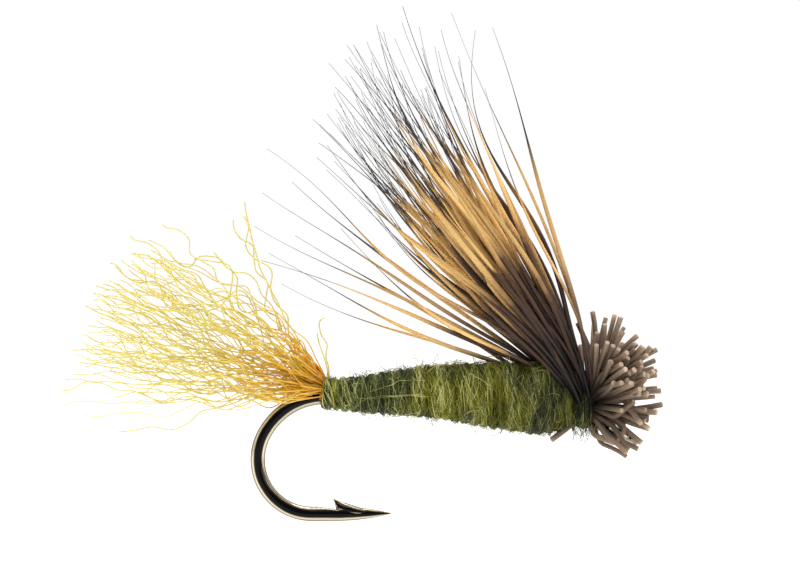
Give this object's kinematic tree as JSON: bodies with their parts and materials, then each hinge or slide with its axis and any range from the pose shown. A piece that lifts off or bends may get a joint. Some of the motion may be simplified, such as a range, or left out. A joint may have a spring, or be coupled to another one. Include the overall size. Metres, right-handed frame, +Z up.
{
  "type": "dry fly",
  "caption": "Artificial dry fly on a down-eye hook: olive dubbed body, upright hair wing with clipped butts, trailing yarn shuck.",
  "frame": {"origin": "centre of the hook's eye", "axes": "+X forward along the hook shank towards the eye, +Z up on the wing side, the hook's bend and point lie in the XZ plane below the shank"},
  "size_m": [0.0192, 0.0066, 0.0167],
  "materials": {
    "bronzed_wire": "glossy bronze lacquer on forged steel wire",
    "tying_thread": "waxed olive thread",
    "head_cement": "clear gloss lacquer over thread",
    "dubbing": "fuzzy twisted olive dubbing",
    "yarn": "crinkled lustrous golden yarn fibres",
    "deer_hair": "satin natural deer hair, dark roots, amber band, black tips"
  },
  "bodies": {
    "root": {"butt_tuft_1": "deer_hair", "butt_tuft_10": "deer_hair", "butt_tuft_11": "deer_hair", "butt_tuft_12": "deer_hair", "butt_tuft_2": "deer_hair", "butt_tuft_3": "deer_hair", "butt_tuft_4": "deer_hair", "butt_tuft_5": "deer_hair", "butt_tuft_6": "deer_hair", "butt_tuft_7": "deer_hair", "butt_tuft_8": "deer_hair", "butt_tuft_9": "deer_hair", "dubbed_body": "dubbing", "hair_waist": "deer_hair", "head_cement": "head_cement", "head_wraps": "tying_thread", "hook": "bronzed_wire", "rear_wraps": "tying_thread", "shuck_root": "yarn", "shuck_underbody": "yarn", "stray_butts": "deer_hair", "thread_base": "tying_thread", "wing_collar": "tying_thread"},
    "wing": {"wing_bundle": "deer_hair", "wing_guard_hairs": "deer_hair", "wing_lock_1": "deer_hair", "wing_lock_10": "deer_hair", "wing_lock_2": "deer_hair", "wing_lock_3": "deer_hair", "wing_lock_4": "deer_hair", "wing_lock_5": "deer_hair", "wing_lock_6": "deer_hair", "wing_lock_7": "deer_hair", "wing_lock_8": "deer_hair", "wing_lock_9": "deer_hair"},
    "shuck": {"shuck_strand_1": "yarn", "shuck_strand_10": "yarn", "shuck_strand_2": "yarn", "shuck_strand_3": "yarn", "shuck_strand_4": "yarn", "shuck_strand_5": "yarn", "shuck_strand_6": "yarn", "shuck_strand_7": "yarn", "shuck_strand_8": "yarn", "shuck_strand_9": "yarn", "shuck_stray_fibres": "yarn"}
  },
  "joints": [
    {"name": "wing_sway", "type": "hinge", "parent": "root", "child": "wing", "pos_m": [-0.0014, 0, 0.00061], "axis": [1, 0, 0], "range_deg": [-14, 14], "stiffness_Nm_per_rad": 0.00002},
    {"name": "shuck_sway", "type": "hinge", "parent": "root", "child": "shuck", "pos_m": [-0.00968, 0, 0.00087], "axis": [0, 0, 1], "range_deg": [-24, 24], "stiffness_Nm_per_rad": 0.000005}
  ]
}
